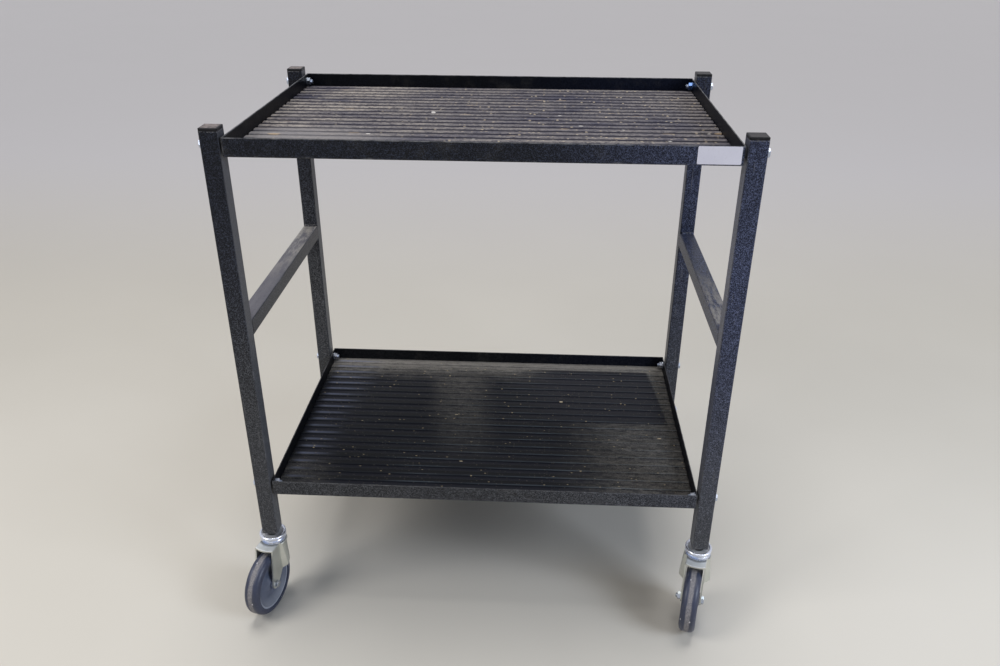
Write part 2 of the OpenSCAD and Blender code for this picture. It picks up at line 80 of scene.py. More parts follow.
class Shader:
    """A node material under construction. Numbers, colours and sockets may be mixed freely as inputs."""

    def __init__(self, name):
        self.mat = bpy.data.materials.new(name)
        self.mat.use_nodes = True
        self.tree = self.mat.node_tree
        self.tree.nodes.clear()
        out = self.tree.nodes.new("ShaderNodeOutputMaterial")
        self.bsdf = self.tree.nodes.new("ShaderNodeBsdfPrincipled")
        self.tree.links.new(self.bsdf.outputs[0], out.inputs[0])
        self.coords = self.tree.nodes.new("ShaderNodeTexCoord").outputs["Object"]
        self.x, self.y, self.z = self.split(self.coords)

    def put(self, socket, value):
        """Links a socket's output to an input, or sets the input to a constant."""
        if isinstance(value, bpy.types.NodeSocket):
            self.tree.links.new(value, socket)
        elif value is not None:
            socket.default_value = value

    def set(self, **values):
        """Sets inputs of the surface by name, such as base_color or specular_ior_level."""
        for name, value in values.items():
            self.put(self.bsdf.inputs[name.replace("_", " ").title().replace("Ior", "IOR")], value)

    def split(self, vector):
        n = self.tree.nodes.new("ShaderNodeSeparateXYZ")
        self.put(n.inputs[0], vector)
        return n.outputs

    def join(self, x, y, z):
        n = self.tree.nodes.new("ShaderNodeCombineXYZ")
        for socket, value in zip(n.inputs, (x, y, z)):
            self.put(socket, value)
        return n.outputs[0]

    def math(self, operation, a, b=None, clamp=False):
        n = self.tree.nodes.new("ShaderNodeMath")
        n.operation = operation
        n.use_clamp = clamp
        self.put(n.inputs[0], a)
        self.put(n.inputs[1], b)
        return n.outputs[0]

    def add(self, a, b, clamp=False):
        return self.math("ADD", a, b, clamp)

    def sub(self, a, b):
        return self.math("SUBTRACT", a, b)

    def mul(self, a, b, *more):
        out = self.math("MULTIPLY", a, b)
        for c in more:
            out = self.math("MULTIPLY", out, c)
        return out

    def most(self, a, b):
        return self.math("MAXIMUM", a, b)

    def least(self, a, b):
        return self.math("MINIMUM", a, b)

    def size(self, a):
        """The value without its sign."""
        return self.math("ABSOLUTE", a)

    def inv(self, a):
        """What is left of 1."""
        return self.math("SUBTRACT", 1.0, a)

    def around(self, value, reach):
        """Noise from 0 to 1, made to go up and down by half of reach."""
        return self.mul(self.sub(value, 0.5), reach)

    def length(self, a, b):
        """Length of the line whose two parts are a and b."""
        return self.math("SQRT", self.add(self.mul(a, a), self.mul(b, b)))

    def step(self, value, low, high):
        """0 below low, 1 above high, smooth between. With high below low it falls."""
        falls = high < low
        n = self.tree.nodes.new("ShaderNodeMapRange")
        n.interpolation_type = "SMOOTHSTEP"
        self.put(n.inputs["Value"], value)
        n.inputs["From Min"].default_value = min(low, high)
        n.inputs["From Max"].default_value = max(low, high)
        n.inputs["To Min"].default_value = 1.0 if falls else 0.0
        n.inputs["To Max"].default_value = 0.0 if falls else 1.0
        return n.outputs[0]

    def range(self, value, to_low, to_high, low=0.0, high=1.0):
        """Carries low to high over to to_low to to_high in a straight line, and holds the ends."""
        n = self.tree.nodes.new("ShaderNodeMapRange")
        self.put(n.inputs["Value"], value)
        n.inputs["From Min"].default_value = low
        n.inputs["From Max"].default_value = high
        n.inputs["To Min"].default_value = to_low
        n.inputs["To Max"].default_value = to_high
        return n.outputs[0]

    def stretch(self, sx, sy, sz, vector=None):
        """Coordinates in which noise comes out long along the axes whose factor is under 1."""
        n = self.tree.nodes.new("ShaderNodeMapping")
        self.put(n.inputs["Vector"], vector or self.coords)
        n.inputs["Scale"].default_value = (sx, sy, sz)
        return n.outputs[0]

    def noise(self, scale, detail=3.0, rough=0.5, vector=None, distortion=0.0):
        """Noise from 0 to 1, with about scale blotches to the metre."""
        n = self.tree.nodes.new("ShaderNodeTexNoise")
        self.put(n.inputs["Vector"], vector or self.coords)
        n.inputs["Scale"].default_value = scale
        n.inputs["Detail"].default_value = detail
        n.inputs["Roughness"].default_value = rough
        n.inputs["Distortion"].default_value = distortion
        return n.outputs["Fac"]

    def cells(self, scale, vector=None):
        """Cells, about scale of them to the metre: the distance to the nearest one's middle, counted
        in cells, and a random number for each."""
        n = self.tree.nodes.new("ShaderNodeTexVoronoi")
        self.put(n.inputs["Vector"], vector or self.coords)
        n.inputs["Scale"].default_value = scale
        return n.outputs["Distance"], self.split(n.outputs["Color"])[0]

    def chips(self, scale, keep, vector=None, reach=0.28):
        """Sparse specks: 1 up to a reach from the middle of some cells, whose share is keep."""
        near, pick = self.cells(scale, vector)
        return self.mul(self.step(near, reach, reach * 0.6), self.step(pick, 1 - keep, 1 - keep + 0.004))

    def mix(self, share, a, b, blend="MIX"):
        """Colour a with a share of colour b laid over it."""
        n = self.tree.nodes.new("ShaderNodeMix")
        n.data_type = "RGBA"
        n.blend_type = blend
        self.put(n.inputs[0], share)
        self.put(n.inputs[6], a)
        self.put(n.inputs[7], b)
        return n.outputs[2]

    def normal(self):
        """The parts of the surface's direction along X, Y and Z."""
        return self.split(self.tree.nodes.new("ShaderNodeNewGeometry").outputs["Normal"])

    def facing_up(self):
        """1 where the surface is level and faces up, 0 where it stands."""
        return self.step(self.normal()[2], 0.55, 0.9)

    def facing_side(self):
        """1 where the surface faces left or right."""
        return self.step(self.size(self.normal()[0]), 0.55, 0.9)

    def bump(self, height, distance, strength):
        """Gives the surface a fine relief, which is distance high where height is 1."""
        n = self.tree.nodes.new("ShaderNodeBump")
        n.inputs["Distance"].default_value = distance
        n.inputs["Strength"].default_value = strength
        self.put(n.inputs["Height"], height)
        self.set(normal=n.outputs[0])


def dress(material, *names):
    """Gives CAD nodes a material."""
    for name in names:
        data = nodes[name].data
        data.materials.clear()
        data.materials.append(material)


def at_corners(prefix):
    """The names of four like nodes, one at each corner."""
    return [prefix + "_" + corner for corner in CORNERS]


def add_object(name, data):
    obj = bpy.data.objects.new(name, data)
    bpy.context.scene.collection.objects.link(obj)
    return obj


# Camera, fitted to the corners and edges of the frame in the photograph
CAMERA_PLACE = (0.090689, -1.496661, 1.25348)
CAMERA_RIGHT = Vector((0.99874466, 0.04996193, 0.00359422))
CAMERA_DOWN = Vector((0.02620432, -0.45997817, -0.88754347))
CAMERA_FORWARD = Vector((-0.04269012, 0.88652348, -0.46070996))
SENSOR_WIDTH_MM = 36
FOCAL_LENGTH_MM = 30.32
FARTHEST_SEEN = 200


def add_camera():
    data = bpy.data.cameras.new("camera")
    data.sensor_width = SENSOR_WIDTH_MM
    data.lens = FOCAL_LENGTH_MM
    data.clip_end = FARTHEST_SEEN
    camera = add_object("camera", data)
    placed = Matrix((CAMERA_RIGHT, -CAMERA_DOWN, -CAMERA_FORWARD)).transposed().to_4x4()
    placed.translation = CAMERA_PLACE
    camera.matrix_world = placed
    bpy.context.scene.camera = camera


add_camera()


# Paint of the frame and the trays

def hammertone(name):
    """Dark blue lacquer with a fine hammered figure and broken light edges.

    It is darkest at the top left, and paler toward the right and the floor. Paler and bluer toward the right
    is a painted reflection of light from the right.
    It returns the shader, its colour and its roughness, so that each piece can add its own wear."""
    s = Shader(name)
    figure = s.noise(385, detail=0.8, rough=0.4, distortion=0.6)
    line = s.step(s.size(s.sub(figure, 0.5)), 0.075, 0.015)
    fine = s.noise(900, detail=1.5)
    broad = s.noise(7, detail=3)

    rear = s.step(s.y, 0.0, 0.24)
    high = s.step(s.z, 0.60, 0.85)
    # Paler toward the floor and low at the rear; paler toward the right is a painted reflection of light from
    # the right
    low = s.add(s.mul(s.step(s.z, 0.92, 0.40), 0.8), s.mul(rear, s.inv(high), 0.3))
    right = s.mul(s.step(s.x, 0.05, 0.36), s.range(s.mul(rear, high), 0.75, 0.35))
    painted_reflection_and_paler_low = s.mul(s.add(right, low, clamp=True), s.range(broad, 0.85, 1.15))
    # Bluer toward the top and the right; at the right this is a painted blue reflection
    blue = s.step(s.add(s.z, s.mul(s.x, 0.5)), 0.25, 0.95)

    dark = s.mix(painted_reflection_and_paler_low, rgb(9, 11, 17), s.mix(blue, rgb(34, 35, 39), rgb(31, 35, 52)))
    light = s.mix(painted_reflection_and_paler_low, rgb(68, 74, 92), s.mix(blue, rgb(124, 126, 131), rgb(118, 128, 166)))
    strength = s.mul(line, s.range(fine, 0.1, 1.3), s.range(painted_reflection_and_paler_low, 0.8, 1.0))
    colour = s.mix(s.mul(strength, 0.8), dark, light)
    rough = s.range(figure, 0.32, 0.46)
    s.bump(s.add(s.mul(figure, 0.8), s.mul(fine, 0.2)), 0.6 * MM, 0.6)
    s.set(specular_ior_level=0.18)
    return s, colour, rough


def corner_wear(s, a, b, grain):
    """Worn paint along the four corners of a square tube; a and b run across it from its middle."""
    low, high = HALF_TUBE - 2.0 * MM, HALF_TUBE - 0.6 * MM
    near = s.mul(s.step(s.size(a), low, high), s.step(s.size(b), low, high))
    return s.mul(near, s.step(grain, 0.50, 0.72), 0.45)


def finish_paint(s, colour, rough, worn, dusty):
    """Lays bare metal grey where the paint is worn, then dust, and returns the material."""
    colour = s.mix(s.mul(worn, 0.85), colour, rgb(140, 140, 144))
    colour = s.mix(dusty, colour, rgb(112, 108, 102))
    s.set(base_color=colour, roughness=s.add(rough, s.mul(dusty, 0.35), clamp=True))
    return s.mat


def leg_paint():
    """Paint worn along the corners, on the top edge and at the foot, with a few long scratches, lighter
    toward the floor, and with painted light on the side faces.
    """
    s, colour, rough = hammertone("paint_legs")
    a = s.sub(s.size(s.x), CORNER_X)
    b = s.sub(s.size(s.y), CORNER_Y)
    worn = corner_wear(s, a, b, s.noise(90, detail=4, vector=s.stretch(1, 1, 0.35)))
    top = s.step(s.z, LEG_TOP_Z - 1.7 * MM, LEG_TOP_Z - 1.1 * MM)
    top = s.mul(top, s.step(s.noise(380), 0.46, 0.56))
    foot = s.step(s.z, FOOT_Z + 35 * MM, FOOT_Z)
    foot = s.mul(foot, s.step(s.noise(160, detail=4), 0.5, 0.7))
    scratch = s.noise(220, detail=2, vector=s.stretch(1, 1, 0.06))
    scratch = s.mul(s.step(scratch, 0.66, 0.72), 0.25)
    worn = s.most(s.most(worn, s.mul(top, 0.55)), s.most(s.mul(foot, 0.35), scratch))
    # Lighter toward the floor; the side faces are lighter still, which is painted light from the sides
    colour = s.mix(s.mul(s.step(s.z, 0.62, 0.22), 0.10), colour, rgb(128, 130, 136))
    colour = s.mix(s.mul(s.facing_side(), 0.22), colour, rgb(122, 124, 132))
    return finish_paint(s, colour, rough, worn, s.mul(foot, 0.25))


def rail_paint():
    """Paint with streaks of dust on top, palest on the left rail, whose top also has a painted gloss."""
    s, colour, rough = hammertone("paint_rails")
    a = s.sub(s.size(s.x), CORNER_X)
    b = s.sub(s.z, RAIL_Z)
    worn = corner_wear(s, a, b, s.noise(80, detail=4, vector=s.stretch(1, 0.3, 1)))
    up = s.facing_up()
    left = s.step(s.x, 0.1, -0.1)
    streak = s.noise(42, detail=6, rough=0.7, vector=s.stretch(2.2, 0.45, 1))
    # Painted gloss along the top of the left rail: a reflection, laid in streaks
    painted_rail_gloss = s.mul(up, left, s.range(streak, 0.42, 0.78, 0.3, 0.7))
    colour = s.mix(painted_rail_gloss, colour, rgb(124, 122, 132))

    # The right rail is used at its front half, the left one at its rear half
    used = s.step(s.mul(s.y, s.math("SIGN", s.x)), 0.10, -0.16)
    dusty = s.mul(up, s.step(streak, 0.40, 0.62), s.range(used, 0.40, 1.0))
    pale = s.mix(left, rgb(178, 174, 172), rgb(222, 218, 214))
    dust = s.mix(s.noise(120, detail=3), rgb(132, 130, 130), pale)
    colour = s.mix(s.mul(dusty, used), colour, dust)
    return finish_paint(s, colour, rough, worn, s.mul(dusty, 0.40))


def weld_paint():
    """Paint over weld beads, whose ripples take the place of the hammered relief."""
    s, colour, rough = hammertone("paint_welds")
    ripple = s.noise(420, detail=2, vector=s.stretch(1, 0.35, 0.35))
    s.bump(ripple, 0.9 * MM, 0.9)
    worn = s.mul(s.step(ripple, 0.52, 0.66), 0.6)
    return finish_paint(s, colour, rough, worn, s.mul(s.facing_up(), 0.2))


def tray_paint(level, wear):
    """Paint of a tray: painted shade on the inner faces, dark on the side rims, and worn on rim tops, folds
    and corners.
    """
    s, colour, rough = hammertone("paint_" + level + "_tray")
    rim_low, rim_high = (corner.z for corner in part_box("tray_rims_" + level))
    across, along = s.size(s.x), s.size(s.y)

    # The mask's edge runs inside the 1.5 mm thick sheet, between its two faces
    inside_x = s.step(across, TRAY_X - 0.7 * MM, TRAY_X - 1.1 * MM)
    inside_y = s.step(along, TRAY_Y - 0.7 * MM, TRAY_Y - 1.1 * MM)
    inside = s.mul(inside_x, inside_y)
    # Painted shade on the inner faces of the rims, bluer toward the right
    shade = s.mix(s.step(s.x, -0.1, 0.3), rgb(12, 13, 16), rgb(9, 13, 26))
    colour = s.mix(s.mul(inside, 0.86), colour, shade)
    s.set(specular_ior_level=s.range(inside, 0.18, 0.08))
    side_rims = s.step(across, TRAY_X - 2.1 * MM, TRAY_X - 1.4 * MM)
    colour = s.mix(s.mul(side_rims, 0.75), colour, rgb(7, 8, 12))

    edge = s.step(s.z, rim_high - 1.6 * MM, rim_high - 0.8 * MM)
    broken = s.step(s.noise(55, detail=5, rough=0.7), 0.36, 0.62)
    worn = s.mul(edge, s.range(broken, 0.15, 1.0), wear)
    fold = s.step(s.z, rim_low + 4.2 * MM, rim_low + 1.2 * MM)
    knock = s.mul(fold, s.step(s.noise(45, detail=5, rough=0.7), 0.48, 0.72))
    worn = s.most(worn, s.mul(knock, 0.45))
    corner_x = s.step(across, TRAY_X - 3.0 * MM, TRAY_X - 1.0 * MM)
    corner_y = s.step(along, TRAY_Y - 3.5 * MM, TRAY_Y - 0.8 * MM)
    rubbed = s.step(s.noise(120, detail=4), 0.45, 0.65)
    worn = s.most(worn, s.mul(corner_x, corner_y, rubbed, 0.25))
    dusty = s.mul(s.step(s.noise(16, detail=6, rough=0.7), 0.5, 0.8), 0.14)
    return finish_paint(s, colour, rough, worn, dusty)


dress(leg_paint(), *at_corners("leg"))
dress(rail_paint(), "side_rail_left", "side_rail_right")
dress(weld_paint(), "rail_welds")
dress(tray_paint("upper", 0.7), "tray_floor_upper", "tray_rims_upper")
dress(tray_paint("lower", 0.35), "tray_floor_lower", "tray_rims_lower")


# Plastic of the leg caps and foot plugs

def cap_plastic():
    """Black plastic with dust on the top, most of it at the left, inside a dark border round the edge."""
    s = Shader("cap_plastic")
    a = s.size(s.sub(s.size(s.x), CORNER_X))
    b = s.size(s.sub(s.size(s.y), CORNER_Y))
    field = s.step(s.most(a, b), HALF_TUBE - 1.2 * MM, HALF_TUBE - 3.8 * MM)
    patch = s.noise(95, detail=5, rough=0.7)
    left = s.range(s.x, 0.95, 0.12, -CORNER_X, CORNER_X)
    dusty = s.mul(s.facing_up(), field, s.step(patch, 0.22, 0.62), left)
    grain = s.noise(1500, detail=2)
    colour = s.mix(s.noise(30), rgb(13, 13, 17), rgb(24, 24, 29))
    colour = s.mix(dusty, colour, s.mix(patch, rgb(122, 114, 114), rgb(158, 148, 147)))
    scuff = s.mul(s.step(s.noise(260, detail=3), 0.6, 0.7), 0.15)
    colour = s.mix(scuff, colour, rgb(92, 90, 90))
    rough = s.range(s.add(dusty, s.mul(grain, 0.2)), 0.40, 0.85, 0.0, 1.2)
    s.set(base_color=colour, roughness=rough, specular_ior_level=0.2)
    s.bump(s.add(grain, s.mul(patch, 0.6)), 0.12 * MM, 0.6)
    return s.mat


def plug_plastic():
    """Black plastic, greyed in patches."""
    s = Shader("plug_plastic")
    grain = s.noise(900, detail=3)
    colour = s.mix(s.step(s.noise(120, detail=4), 0.4, 0.75), rgb(20, 20, 22), rgb(62, 60, 58))
    s.set(base_color=colour, roughness=s.range(grain, 0.42, 0.62))
    s.bump(grain, 0.1 * MM, 0.6)
    return s.mat


dress(cap_plastic(), *at_corners("cap"))
dress(plug_plastic(), "foot_plugs")


# Rubber mats

def pale_smear(s, smear):
    """The pale smear near the front left corner of the upper mat, long from left to right."""
    smear_x, smear_y = -0.31, -0.165
    dx = s.sub(s.x, smear_x)
    dy = s.sub(s.y, smear_y)
    away = s.math("SQRT", s.add(s.mul(dx, dx, 0.30), s.mul(dy, dy)))
    return s.mul(s.step(s.add(away, s.around(smear, 0.12)), 0.105, 0.03), 0.75)


def upper_mat():
    """Grey rubber whose rib tops hold dust and whose grooves have painted shade, with rubbed dark smears, one
    pale smear and wood crumbs.
    """
    s = Shader("rubber_upper_mat")
    top = s.step(s.z, UPPER_MAT_TOP - 1.7 * MM, UPPER_MAT_TOP - 0.1 * MM)
    smear = s.noise(7.5, detail=4, rough=0.6, vector=s.stretch(0.55, 1.5, 1), distortion=0.4)
    streak = s.noise(55, detail=5, rough=0.7, vector=s.stretch(0.22, 1.6, 1))
    speck = s.noise(420, detail=3, rough=0.7, vector=s.stretch(0.55, 1, 1))
    grit = s.noise(250, detail=3, rough=0.75, vector=s.stretch(0.55, 1, 1))

    dust = s.add(s.range(smear, 0.05, 1.05, 0.34, 0.64), s.around(streak, 1.7))
    dust = s.add(dust, s.around(speck, 0.9), clamp=True)
    dust = s.mul(dust, s.range(s.step(s.x, -0.32, -0.05), 1.10, 0.60))
    # The grooves hold less dust than the rib tops and are darker besides, even where there is no dust:
    # painted shade in the grooves
    rib = s.mix(dust, rgb(66, 65, 82), rgb(172, 164, 157))
    groove = s.mix(dust, rgb(34, 33, 50), rgb(82, 79, 86))
    colour = s.mix(s.mul(top, s.range(grit, 0.0, 1.25, 0.34, 0.62)), groove, rib)
    smeared = s.mix(speck, rgb(112, 110, 116), rgb(158, 154, 154))
    colour = s.mix(pale_smear(s, smear), colour, smeared)

    long_chips = s.chips(70, 0.07, s.stretch(0.33, 2.8, 1), 0.30)
    small_chips = s.chips(230, 0.16, s.stretch(0.55, 1.1, 1), 0.36)
    white_chips = s.chips(95, 0.02, s.stretch(0.6, 1.2, 1), 0.28)
    right = s.range(s.step(s.x, -0.25, 0.10), 0.25, 0.75)
    colour = s.mix(s.mul(long_chips, 0.75), colour, rgb(192, 168, 138))
    colour = s.mix(s.mul(small_chips, right), colour, rgb(206, 190, 166))
    colour = s.mix(white_chips, colour, rgb(226, 222, 218))
    s.set(base_color=colour, roughness=s.range(dust, 0.62, 0.92), specular_ior_level=0.32)
    s.bump(s.add(speck, s.mul(s.most(long_chips, small_chips), 0.8)), 0.3 * MM, 0.7)
    return s.mat


def rib_phase(s):
    """Where each point lies on its rib, from 0 at the front edge to 1 at the next rib's front edge.

    It counts from a place 40 ribs in front of the rear one, which is clear of the mat."""
    start = REAR_RIB_Y - RIB_HALF_W - 40 * RIB_PITCH
    return s.math("FRACT", s.math("DIVIDE", s.sub(s.y, start), RIB_PITCH))


def lower_mat_dust(s, fleck, speck):
    """The dust of the lower mat, the part of it that lies heavy, and where the mat is swept clean.

    It lies in a band along the back, a brown smear in the middle, at the right end and its front half,
    and in the front left corner. A field in the right rear quarter is swept."""
    wander = s.around(s.noise(14, detail=4), 0.05)
    back = s.step(s.add(s.y, wander), 0.150, 0.215)
    off = s.size(s.add(s.add(s.x, 0.062), s.mul(s.y, 0.10)))
    middle = s.mul(s.step(s.add(off, wander), 0.085, 0.02), s.step(s.y, -0.17, 0.02), 0.7)
    edge = s.add(s.x, s.mul(s.sub(s.y, 0.217), 0.094))
    end = s.step(s.add(edge, s.mul(wander, 0.25)), 0.349, 0.356)
    right_front = s.mul(s.step(s.add(s.x, s.mul(wander, 1.6)), 0.12, 0.30), s.step(s.y, 0.012, 0.004))
    left_front = s.mul(s.step(s.x, -0.27, -0.36), s.step(s.y, -0.12, -0.20), 0.7)
    swept_x = s.mul(s.step(s.x, 0.03, 0.16), s.step(edge, 0.355, 0.347))
    swept = s.mul(swept_x, s.step(s.y, 0.004, 0.014), s.step(s.y, 0.232, 0.216))

    dust = s.most(s.most(back, middle), s.most(s.most(end, s.mul(right_front, 1.15)), left_front))
    dust = s.mul(s.least(dust, 1.0), s.inv(swept))
    heavy = s.mul(back, s.step(s.y, 0.190, 0.245))
    thick = s.add(s.add(s.mul(fleck, 0.6), s.mul(speck, 0.5)), s.mul(heavy, 0.16))
    return s.mul(dust, s.step(thick, 0.36, 0.78)), heavy, swept


def painted_gloss_streaks(s, phase, along):
    """Where the ribs of the lower mat get painted gloss streaks, a reflection: behind their front edges, at
    the left end.
    """
    bright = s.mul(s.step(phase, 0.05, 0.16), s.step(phase, 0.50, 0.24))
    inner = s.add(s.x, s.add(s.around(along, 0.10), s.mul(s.y, -0.16)))
    reach = s.mul(s.step(inner, -0.285, -0.365), s.step(s.x, -0.388, -0.366))
    return s.mul(bright, reach)


def lower_mat():
    """Near black rubber: painted light in the grooves, a painted highlight on each rib's front edge and
    painted gloss streaks at the left end; swept at the right, dusty along the back and the right.
    """
    s = Shader("rubber_lower_mat")
    speck = s.noise(520, detail=3, rough=0.7, vector=s.stretch(0.6, 1, 1))
    fleck = s.noise(130, detail=5, rough=0.75, vector=s.stretch(0.4, 1.3, 1))
    smear = s.noise(6, detail=4, rough=0.6, vector=s.stretch(0.7, 1.2, 1), distortion=0.3)
    along = s.noise(9, detail=3, vector=s.stretch(1, 1.4, 1))
    phase = rib_phase(s)
    top = s.step(s.z, LOWER_MAT_TOP - 1.8 * MM, LOWER_MAT_TOP - 0.2 * MM)
    # Painted light: the grooves are lighter than the rib tops, to even out the shade that falls in them
    colour = s.mix(top, rgb(34, 35, 42), s.mix(smear, rgb(13, 14, 18), rgb(23, 24, 28)))

    # A painted highlight along the front edge of each rib, faint at the left
    painted_edge_highlight = s.mul(s.step(phase, 0.00, 0.03), s.step(phase, 0.13, 0.08))
    quiet = s.step(s.add(s.x, s.mul(s.y, -0.5)), -0.22, 0.02)
    painted_edge_highlight = s.mul(painted_edge_highlight, s.range(quiet, 0.2, 1.0))
    painted_edge_highlight = s.mul(painted_edge_highlight, s.range(along, 0.25, 1.0, 0.3, 0.7), 0.8)
    colour = s.mix(painted_edge_highlight, colour, rgb(84, 92, 100))

    dust, heavy, swept = lower_mat_dust(s, fleck, speck)
    grey = s.mix(fleck, rgb(110, 107, 102), rgb(152, 148, 143))
    grey = s.mix(s.mul(heavy, 0.6), grey, rgb(122, 119, 116))
    colour = s.mix(s.mul(dust, s.range(heavy, 0.70, 0.95)), colour, grey)
    colour = s.mix(s.mul(swept, 0.55), colour, rgb(42, 42, 48))
    # Painted reflection: bluish gloss streaks at the left end
    painted_gloss_share = s.mul(painted_gloss_streaks(s, phase, along), s.range(fleck, 0.3, 1.0), 0.90)
    colour = s.mix(painted_gloss_share, colour, rgb(108, 114, 136))

    crumbs = s.mul(s.chips(300, 0.16, s.stretch(0.7, 1.1, 1), 0.34), s.range(dust, 0.35, 0.8))
    small_chips = s.chips(190, 0.055, s.stretch(0.6, 1.1, 1), 0.28)
    large_chips = s.chips(80, 0.022, s.stretch(0.50, 1.2, 1), 0.19)
    colour = s.mix(crumbs, colour, rgb(128, 121, 110))
    colour = s.mix(s.mul(small_chips, 0.8), colour, rgb(176, 160, 132))
    colour = s.mix(large_chips, colour, rgb(214, 196, 166))
    rough = s.add(s.range(smear, 0.36, 0.52), s.mul(dust, 0.4), clamp=True)
    s.set(base_color=colour, roughness=rough, specular_ior_level=0.11)
    s.bump(s.add(s.mul(speck, 0.7), s.mul(s.most(small_chips, large_chips), 0.9)), 0.2 * MM, 0.6)
    return s.mat


dress(upper_mat(), "mat_upper")
dress(lower_mat(), "mat_lower")


# Bare and zinc plated metal

def metal(name):
    """A shader for bare or plated metal, and its fine grain."""
    s = Shader(name)
    s.set(metallic=1.0)
    return s, s.noise(700, detail=3)


def zinc(name, light, dark, rough, blotch=24):
    """Clouded metal with dull stains, which get smaller as blotch grows.

    It returns the shader, its colour and its grain. The relief is left to the piece."""
    s, grain = metal(name)
    cloud = s.noise(blotch, detail=4, rough=0.6)
    stain = s.step(s.noise(blotch * 6, detail=5, rough=0.7), 0.60, 0.78)
    colour = s.mix(s.mul(stain, 0.45), s.mix(cloud, dark, light), rgb(142, 140, 132))
    s.set(base_color=colour)
    s.set(roughness=s.range(s.add(grain, s.mul(stain, 0.5)), rough, rough + 0.16, 0.3, 1.3))
    return s, colour, grain


def thread(s, grain, where, along):
    """Adds a screw thread where the mask says."""
    wave = s.math("PINGPONG", s.math("DIVIDE", along, SCREW_PITCH), 0.5)
    s.bump(s.add(s.mul(wave, where, 2.0), s.mul(grain, 0.1)), 0.5 * MM, 1.0)


def bolt_zinc():
    """Bright zinc, threaded on the end that stands out of the nut."""
    s, _, grain = zinc("zinc_bolts", rgb(214, 222, 238), rgb(150, 160, 180), 0.34, blotch=90)
    thread(s, grain, s.step(s.size(s.x), BOLT_THREAD_X + 0.5 * MM, BOLT_THREAD_X), s.x)
    return s.mat


def nut_zinc():
    """Zinc of the nuts and washers: on the upper tray painted darker, grey at the left and with a painted
    blue reflection at the right.
    """
    s, colour, grain = zinc("zinc_nuts", rgb(226, 231, 242), rgb(148, 154, 166), 0.36, blotch=120)
    # Painted shade on the upper tray's nuts, with a painted blue reflection at the right
    tint = s.mix(s.step(s.x, -0.1, 0.1), rgb(176, 180, 182), rgb(128, 158, 208))
    tinted = s.mix(1.0, colour, tint, "MULTIPLY")
    s.set(base_color=s.mix(s.step(s.z, 0.4, 0.8), colour, tinted))
    s.bump(grain, 0.1 * MM, 0.5)
    return s.mat


def spacer_shade():
    """Dark dull zinc of the spacers between leg and tray: painted shade, for the dark gap they sit in."""
    s, _, grain = zinc("spacers_painted_shade", rgb(92, 93, 97), rgb(58, 58, 63), 0.45)
    s.bump(grain, 0.1 * MM, 0.5)
    return s.mat


def bare_steel():
    """Unplated steel of the stems, ball rings and axle bushes."""
    s, _, grain = zinc("bare_steel", rgb(168, 166, 164), rgb(128, 126, 124), 0.28, blotch=60)
    s.bump(grain, 0.1 * MM, 0.5)
    return s.mat


dress(bolt_zinc(), "tray_bolts")
dress(nut_zinc(), "tray_washers", "tray_nuts")
dress(spacer_shade(), "tray_spacers")
dress(bare_steel(), *at_corners("stem"), *at_corners("ball_ring"), *at_corners("axle_bush"))


# Casters

def wheel_coords(s, corner):
    """Coordinates of a wheel: along its axle, ahead as it rolls, up, and the radius."""
    roll = joints["roll_" + corner]
    x, y, z = roll["pos_m"]
    axle_x, axle_y, _ = roll["axis"]
    dx = s.sub(s.x, x)
    dy = s.sub(s.y, y)
    side = s.add(s.mul(dx, axle_x), s.mul(dy, axle_y))
    ahead = s.add(s.mul(dx, axle_y), s.mul(dy, -axle_x))
    up = s.sub(s.z, z)
    return side, ahead, up, s.length(ahead, up)


def swivel_radius(s, corner):
    """Distance from the caster's swivel axis."""
    x, y, _ = joints["turn_" + corner]["pos_m"]
    return s.length(s.sub(s.x, x), s.sub(s.y, y))


def tyre_rubber(corner):
    """Slate rubber with a dusty worn band round the tread and small white painted glints."""
    s = Shader("rubber_tyre_" + corner)
    side, ahead, up, radius = wheel_coords(s, corner)

    # Laid out flat near the tread, so that its marks aren't drawn out
    turn = s.math("ARCTAN2", up, ahead)
    unrolled = s.join(s.mul(turn, 60 * MM), side, radius)
    fine = s.noise(520, detail=3, rough=0.7, vector=unrolled)
    patch = s.noise(70, detail=4, rough=0.6, vector=s.stretch(0.5, 1, 1, unrolled))
    colour = s.mix(patch, rgb(38, 43, 62), rgb(62, 69, 94))
    edge = s.add(s.size(side), s.around(patch, 4 * MM))
    tread = s.step(radius, WHEEL_R - 2.5 * MM, WHEEL_R - 1.3 * MM)
    band = s.mul(s.step(edge, 5.8 * MM, 2.6 * MM), tread)
    worn = s.mix(fine, rgb(124, 122, 126), rgb(164, 160, 162))
    colour = s.mix(s.mul(band, s.range(fine, 0.35, 1.1, 0.3, 0.65)), colour, worn)
    dusty = s.mul(s.step(s.noise(240, detail=5, rough=0.7, vector=unrolled), 0.52, 0.75), 0.35)
    colour = s.mix(dusty, colour, rgb(112, 110, 116))
    # Painted glints: small white specks over the tyre
    marks = s.chips(150, 0.07, s.stretch(0.6, 1, 1, unrolled), 0.24)
    colour = s.mix(s.mul(marks, 0.9), colour, rgb(232, 231, 238))
    s.set(base_color=colour, roughness=s.range(s.add(band, s.mul(fine, 0.3)), 0.34, 0.78, 0.0, 1.2))
    s.bump(s.add(fine, s.mul(patch, 0.5)), 0.25 * MM, 0.6)
    return s.mat


